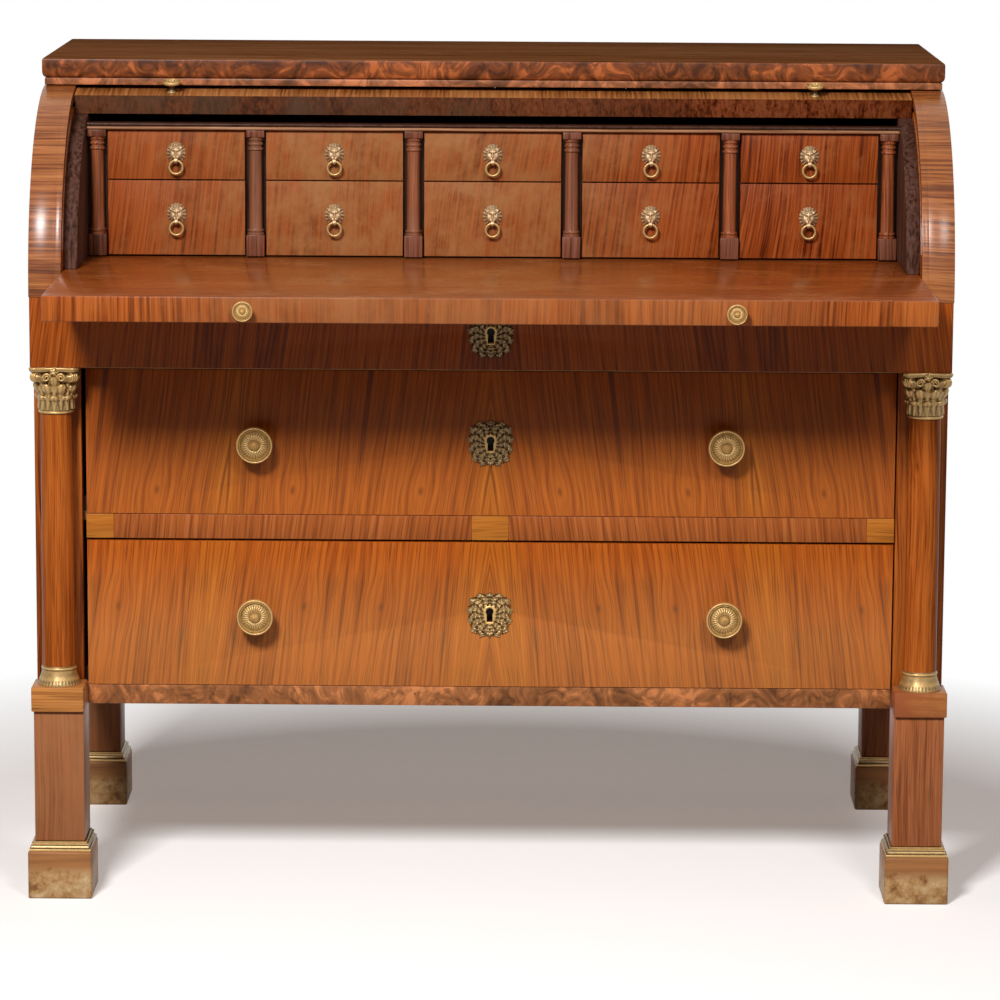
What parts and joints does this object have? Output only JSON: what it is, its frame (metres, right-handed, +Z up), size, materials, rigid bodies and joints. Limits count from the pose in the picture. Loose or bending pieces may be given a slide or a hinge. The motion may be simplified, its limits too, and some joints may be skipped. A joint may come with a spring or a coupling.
{
  "type": "cylinder desk",
  "caption": "Cylinder desk with a quarter-round fall over a pull-out writing slide and a nest of small drawers, above a frieze drawer and long drawers between columns, on square legs.",
  "frame": {"origin": "middle of the bounding box on the floor, with the writing slide drawn out as in the picture", "axes": "+X to the sitter's right along the desk, -Y towards the sitter, +Z up"},
  "size_m": [1.198, 0.8546, 1.078],
  "materials": {
    "case_walnut": "french-polished walnut veneer",
    "top_burr": "polished burr walnut veneer",
    "drawer_walnut": "polished book-matched walnut veneer",
    "cylinder_walnut": "polished walnut veneer on staves",
    "slide_walnut": "worn polished walnut",
    "nest_walnut": "polished walnut",
    "foot_walnut": "worn polish",
    "inner_pine": "unpolished softwood",
    "antique_brass": "cast, dulled by age",
    "gilt_brass": "gilt, rubbed"
  },
  "bodies": {
    "case": {"side_left": "case_walnut", "side_right": "case_walnut", "back_panel": "inner_pine", "top_board": "top_burr", "case_boards": "inner_pine", "front_frame": "case_walnut", "drawer_guides": "inner_pine", "legs": "case_walnut", "foot_blocks": "foot_walnut", "foot_mouldings": "gilt_brass", "column_shafts": "case_walnut", "column_bases": "gilt_brass", "column_capitals": "gilt_brass", "cylinder_cheeks": "nest_walnut", "nest_case": "nest_walnut", "nest_cornice": "nest_walnut", "nest_colonnettes": "nest_walnut"},
    "writing_slide": {"writing_slide": "slide_walnut", "slide_knobs": "antique_brass"},
    "cylinder": {"cylinder_staves": "cylinder_walnut", "cylinder_rail": "cylinder_walnut", "cylinder_knobs": "antique_brass"},
    "frieze_drawer": {"frieze_drawer": "drawer_walnut", "frieze_lock": "antique_brass"},
    "upper_drawer": {"upper_drawer": "drawer_walnut", "upper_knobs": "antique_brass", "upper_lock": "antique_brass"},
    "lower_drawer": {"lower_drawer": "drawer_walnut", "lower_knobs": "antique_brass", "lower_lock": "antique_brass"},
    "small_drawer_lower_1": {"small_drawer_lower_1": "nest_walnut", "lion_mask_lower_1": "antique_brass"},
    "ring_lower_1": {"ring_lower_1": "antique_brass"},
    "small_drawer_lower_2": {"small_drawer_lower_2": "nest_walnut", "lion_mask_lower_2": "antique_brass"},
    "ring_lower_2": {"ring_lower_2": "antique_brass"},
    "small_drawer_lower_3": {"small_drawer_lower_3": "nest_walnut", "lion_mask_lower_3": "antique_brass"},
    "ring_lower_3": {"ring_lower_3": "antique_brass"},
    "small_drawer_lower_4": {"small_drawer_lower_4": "nest_walnut", "lion_mask_lower_4": "antique_brass"},
    "ring_lower_4": {"ring_lower_4": "antique_brass"},
    "small_drawer_lower_5": {"small_drawer_lower_5": "nest_walnut", "lion_mask_lower_5": "antique_brass"},
    "ring_lower_5": {"ring_lower_5": "antique_brass"},
    "small_drawer_upper_1": {"small_drawer_upper_1": "nest_walnut", "lion_mask_upper_1": "antique_brass"},
    "ring_upper_1": {"ring_upper_1": "antique_brass"},
    "small_drawer_upper_2": {"small_drawer_upper_2": "nest_walnut", "lion_mask_upper_2": "antique_brass"},
    "ring_upper_2": {"ring_upper_2": "antique_brass"},
    "small_drawer_upper_3": {"small_drawer_upper_3": "nest_walnut", "lion_mask_upper_3": "antique_brass"},
    "ring_upper_3": {"ring_upper_3": "antique_brass"},
    "small_drawer_upper_4": {"small_drawer_upper_4": "nest_walnut", "lion_mask_upper_4": "antique_brass"},
    "ring_upper_4": {"ring_upper_4": "antique_brass"},
    "small_drawer_upper_5": {"small_drawer_upper_5": "nest_walnut", "lion_mask_upper_5": "antique_brass"},
    "ring_upper_5": {"ring_upper_5": "antique_brass"}
  },
  "joints": [
    {"name": "cylinder_swing", "type": "hinge", "parent": "case", "child": "cylinder", "pos_m": [0, 0.0803, 0.796], "axis": [-1, 0, 0], "range_deg": [-69.5, 0]},
    {"name": "writing_slide_pull", "type": "slide", "parent": "case", "child": "writing_slide", "axis": [0, -1, 0], "range_m": [-0.238, 0.05]},
    {"name": "frieze_drawer_pull", "type": "slide", "parent": "case", "child": "frieze_drawer", "axis": [0, -1, 0], "range_m": [0, 0.38]},
    {"name": "upper_drawer_pull", "type": "slide", "parent": "case", "child": "upper_drawer", "axis": [0, -1, 0], "range_m": [0, 0.38]},
    {"name": "lower_drawer_pull", "type": "slide", "parent": "case", "child": "lower_drawer", "axis": [0, -1, 0], "range_m": [0, 0.38]},
    {"name": "small_drawer_lower_1_pull", "type": "slide", "parent": "case", "child": "small_drawer_lower_1", "axis": [0, -1, 0], "range_m": [0, 0.1]},
    {"name": "ring_lower_1_swing", "type": "hinge", "parent": "small_drawer_lower_1", "child": "ring_lower_1", "pos_m": [-0.414, 0.0037, 0.86796], "axis": [-1, 0, 0], "range_deg": [-6, 95]},
    {"name": "small_drawer_lower_2_pull", "type": "slide", "parent": "case", "child": "small_drawer_lower_2", "axis": [0, -1, 0], "range_m": [0, 0.1]},
    {"name": "ring_lower_2_swing", "type": "hinge", "parent": "small_drawer_lower_2", "child": "ring_lower_2", "pos_m": [-0.207, 0.0037, 0.86796], "axis": [-1, 0, 0], "range_deg": [-6, 95]},
    {"name": "small_drawer_lower_3_pull", "type": "slide", "parent": "case", "child": "small_drawer_lower_3", "axis": [0, -1, 0], "range_m": [0, 0.1]},
    {"name": "ring_lower_3_swing", "type": "hinge", "parent": "small_drawer_lower_3", "child": "ring_lower_3", "pos_m": [0, 0.0037, 0.86796], "axis": [-1, 0, 0], "range_deg": [-6, 95]},
    {"name": "small_drawer_lower_4_pull", "type": "slide", "parent": "case", "child": "small_drawer_lower_4", "axis": [0, -1, 0], "range_m": [0, 0.1]},
    {"name": "ring_lower_4_swing", "type": "hinge", "parent": "small_drawer_lower_4", "child": "ring_lower_4", "pos_m": [0.207, 0.0037, 0.86796], "axis": [-1, 0, 0], "range_deg": [-6, 95]},
    {"name": "small_drawer_lower_5_pull", "type": "slide", "parent": "case", "child": "small_drawer_lower_5", "axis": [0, -1, 0], "range_m": [0, 0.1]},
    {"name": "ring_lower_5_swing", "type": "hinge", "parent": "small_drawer_lower_5", "child": "ring_lower_5", "pos_m": [0.414, 0.0037, 0.86796], "axis": [-1, 0, 0], "range_deg": [-6, 95]},
    {"name": "small_drawer_upper_1_pull", "type": "slide", "parent": "case", "child": "small_drawer_upper_1", "axis": [0, -1, 0], "range_m": [0, 0.1]},
    {"name": "ring_upper_1_swing", "type": "hinge", "parent": "small_drawer_upper_1", "child": "ring_upper_1", "pos_m": [-0.414, 0.0037, 0.9481], "axis": [-1, 0, 0], "range_deg": [-6, 95]},
    {"name": "small_drawer_upper_2_pull", "type": "slide", "parent": "case", "child": "small_drawer_upper_2", "axis": [0, -1, 0], "range_m": [0, 0.1]},
    {"name": "ring_upper_2_swing", "type": "hinge", "parent": "small_drawer_upper_2", "child": "ring_upper_2", "pos_m": [-0.207, 0.0037, 0.9481], "axis": [-1, 0, 0], "range_deg": [-6, 95]},
    {"name": "small_drawer_upper_3_pull", "type": "slide", "parent": "case", "child": "small_drawer_upper_3", "axis": [0, -1, 0], "range_m": [0, 0.1]},
    {"name": "ring_upper_3_swing", "type": "hinge", "parent": "small_drawer_upper_3", "child": "ring_upper_3", "pos_m": [0, 0.0037, 0.9481], "axis": [-1, 0, 0], "range_deg": [-6, 95]},
    {"name": "small_drawer_upper_4_pull", "type": "slide", "parent": "case", "child": "small_drawer_upper_4", "axis": [0, -1, 0], "range_m": [0, 0.1]},
    {"name": "ring_upper_4_swing", "type": "hinge", "parent": "small_drawer_upper_4", "child": "ring_upper_4", "pos_m": [0.207, 0.0037, 0.9481], "axis": [-1, 0, 0], "range_deg": [-6, 95]},
    {"name": "small_drawer_upper_5_pull", "type": "slide", "parent": "case", "child": "small_drawer_upper_5", "axis": [0, -1, 0], "range_m": [0, 0.1]},
    {"name": "ring_upper_5_swing", "type": "hinge", "parent": "small_drawer_upper_5", "child": "ring_upper_5", "pos_m": [0.414, 0.0037, 0.9481], "axis": [-1, 0, 0], "range_deg": [-6, 95]}
  ]
}
